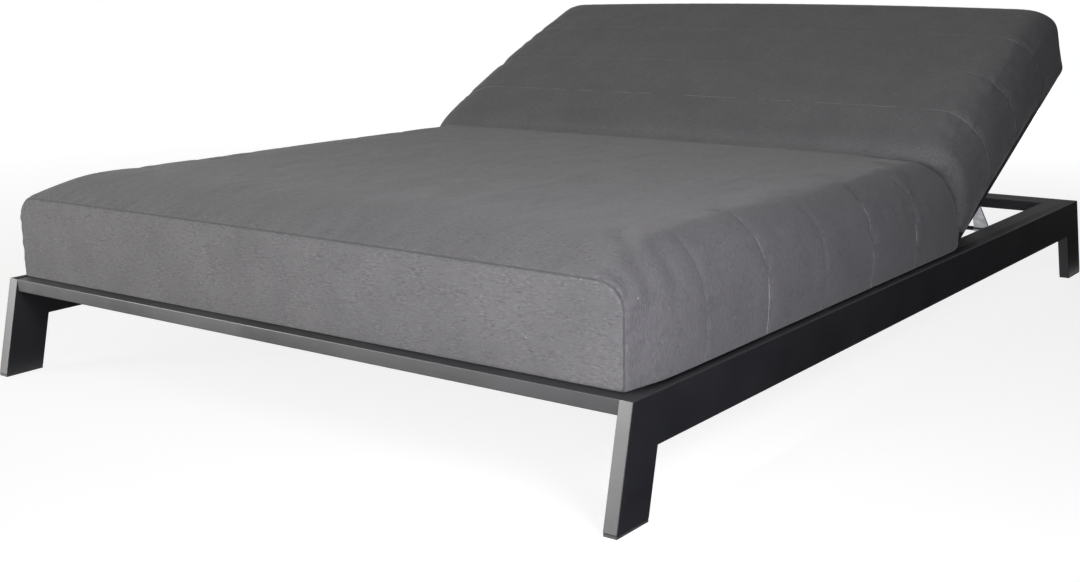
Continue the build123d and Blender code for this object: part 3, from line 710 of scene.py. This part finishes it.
def makeCamera():
    data = bpy.data.cameras.new("photoCamera")
    camera = bpy.data.objects.new("photoCamera", data)
    bpy.context.scene.collection.objects.link(camera)
    camera.location = cameraAt["place"]
    camera.rotation_euler = [math.radians(a) for a in cameraAt["turn"]]
    data.lens = cameraAt["lens"]
    data.shift_x, data.shift_y = cameraAt["shift"]
    bpy.context.scene.camera = camera


makeCamera()


def seenOnly(tree):
    # 1 for rays from the camera and for those mirrored or passed on by a surface, 0 for light
    paths = addNode(tree, "ShaderNodeLightPath")
    share = paths.outputs["Is Camera Ray"]
    for name in ("Is Glossy Ray", "Is Transmission Ray"):
        share = addNode(tree, "ShaderNodeMath", {"operation": "MAXIMUM"},
                        {0: share, 1: paths.outputs[name]}).outputs[0]
    return share


# a white sweep: seen as near white, with the shadow of the object left on it as a soft grey
studio = {"floorSize": 40, "floorColour": "#dcdcdc", "floorSeen": "#959595", "glowNear": 0.83, "glowFar": 1,
          "farFrom": 1.6, "farTo": 4.5, "ambient": 0.05}


def makeFloor():
    bpy.ops.mesh.primitive_plane_add(size=studio["floorSize"], location=(0, 0, 0))
    floor = bpy.context.object
    floor.name = "floor"
    material, tree, shader = newMaterial("paleFloor")
    share = seenOnly(tree)
    plain = addNode(tree, "ShaderNodeBsdfDiffuse", {"Color": hexToLinear(studio["floorColour"])}).outputs[0]
    shaded = addNode(tree, "ShaderNodeBsdfDiffuse", {"Color": hexToLinear(studio["floorSeen"])}).outputs[0]
    place = addNode(tree, "ShaderNodeTexCoord").outputs["Object"]
    distance = addNode(tree, "ShaderNodeVectorMath", {"operation": "LENGTH"}, {0: place}).outputs["Value"]
    strength = addNode(tree, "ShaderNodeMapRange", {"From Min": studio["farFrom"],
                       "From Max": studio["farTo"], "To Min": studio["glowNear"],
                       "To Max": studio["glowFar"]}, {"Value": distance}).outputs["Result"]
    glow = addNode(tree, "ShaderNodeEmission", None, {"Strength": strength}).outputs[0]
    seen = addNode(tree, "ShaderNodeAddShader", None, {0: shaded, 1: glow}).outputs[0]
    mix = addNode(tree, "ShaderNodeMixShader", None, {0: share, 1: plain, 2: seen}).outputs[0]
    tree.nodes.remove(shader)
    tree.links.new(mix, tree.nodes["Material Output"].inputs["Surface"])
    floor.data.materials.append(material)


def makeWorld():
    world = bpy.data.worlds.new("studio")
    bpy.context.scene.world = world
    world.use_nodes = True
    tree = world.node_tree
    strength = addNode(tree, "ShaderNodeMapRange", {"To Min": studio["ambient"], "To Max": 1},
                       {"Value": seenOnly(tree)}).outputs["Result"]
    tree.nodes["Background"].inputs["Color"].default_value = (1, 1, 1, 1)
    tree.links.new(strength, tree.nodes["Background"].inputs["Strength"])


# dark flags that reflections meet, as a studio stands and lays them beside a satin product; the two at
# the right also hold back the room's light and what the floor gives back
flags = {"flagRight": {"at": (3.2, 2.3, 1.6), "size": (7.6, 4.4), "turn": (90, 0, 90), "holdsLight": True},
         "flagFloor": {"at": (2.11, 1.8, 0.003), "size": (2.68, 6.4), "turn": (0, 0, 0), "holdsLight": True},
         "flagFront": {"at": (-1.25, -1.75, 0.003), "size": (2.1, 1.3), "turn": (0, 0, 0)},
         "flagUnder": {"at": (0.08, -0.4, 0.003), "size": (1.56, 1.6), "turn": (0, 0, 0)},
         "flagRear": {"at": (-2.5, 4.6, 1.2), "size": (8, 2.6), "turn": (90, 0, 20)}}


def makeFlags():
    material, tree, shader = newMaterial("blackFlagCloth")
    shader.inputs["Base Color"].default_value = hexToLinear("#0a0a0a")
    shader.inputs["Roughness"].default_value = 1
    shader.inputs["Specular IOR Level"].default_value = 0
    for name, flag in flags.items():
        turn = [math.radians(a) for a in flag["turn"]]
        bpy.ops.mesh.primitive_plane_add(size=1, location=flag["at"], rotation=turn)
        panel = bpy.context.object
        panel.name = name
        panel.scale = (*flag["size"], 1)
        panel.data.materials.append(material)
        for way in ("visible_camera", "visible_transmission", "visible_shadow"):
            setattr(panel, way, False)
        panel.visible_diffuse = flag.get("holdsLight", False)


# large soft lamps, a little warm at the front and left and cool at the right; the strip only shows as
# a gloss on the fronts of the frame, and the rear lamp as no gloss at all
lamps = {"front": {"at": (0.4, -4.0, 1.6), "size": (1.6, 1.6), "power": 26, "towards": (0, -0.5, 0.3),
                   "colour": "#fffaf4"},
         "left": {"at": (-3.4, -4.8, 1.2), "size": (2.4, 1.2), "power": 110, "towards": (0, -0.9, 0.15),
                  "colour": "#fffaf4"},
         "right": {"at": (2.1, -1.6, 1.1), "size": (0.8, 0.8), "power": 11.5, "towards": (0.7, -1, 0.2),
                   "spread": 110, "colour": "#f9f6ff"},
         "low": {"at": (1.7, -2.6, 0.5), "size": (0.8, 0.6), "power": 8.6, "towards": (0.7, -0.9, 0.2),
                 "spread": 110, "colour": "#f9f6ff"},
         "rear": {"at": (-1.5, 4.5, 0.45), "size": (2.4, 0.7), "power": 60, "towards": (0, 0.9, 0.25),
                  "gloss": False},
         "strip": {"at": (-1.6, -3.2, 1.15), "size": (3.6, 1), "power": 480, "towards": (-0.3, -1, 0.3),
                   "gloss": True}}


def makeLamps():
    for name, lamp in lamps.items():
        data = bpy.data.lights.new(name, "AREA")
        data.shape = "RECTANGLE"
        data.size, data.size_y = lamp["size"]
        data.energy = lamp["power"]
        data.color = hexToLinear(lamp.get("colour", "#ffffff"))[:3]
        light = bpy.data.objects.new(name, data)
        bpy.context.scene.collection.objects.link(light)
        light.location = lamp["at"]
        aim = Vector(lamp["towards"]) - Vector(lamp["at"])
        light.rotation_euler = aim.to_track_quat("-Z", "Y").to_euler()
        data.spread = math.radians(lamp.get("spread", 180))
        light.visible_camera = False
        light.visible_diffuse = lamp.get("gloss") is not True
        light.visible_glossy = lamp.get("gloss") is not False


makeFloor()
makeWorld()
makeFlags()
makeLamps()
bpy.context.scene.view_settings.view_transform = "Standard"
print("studio set")
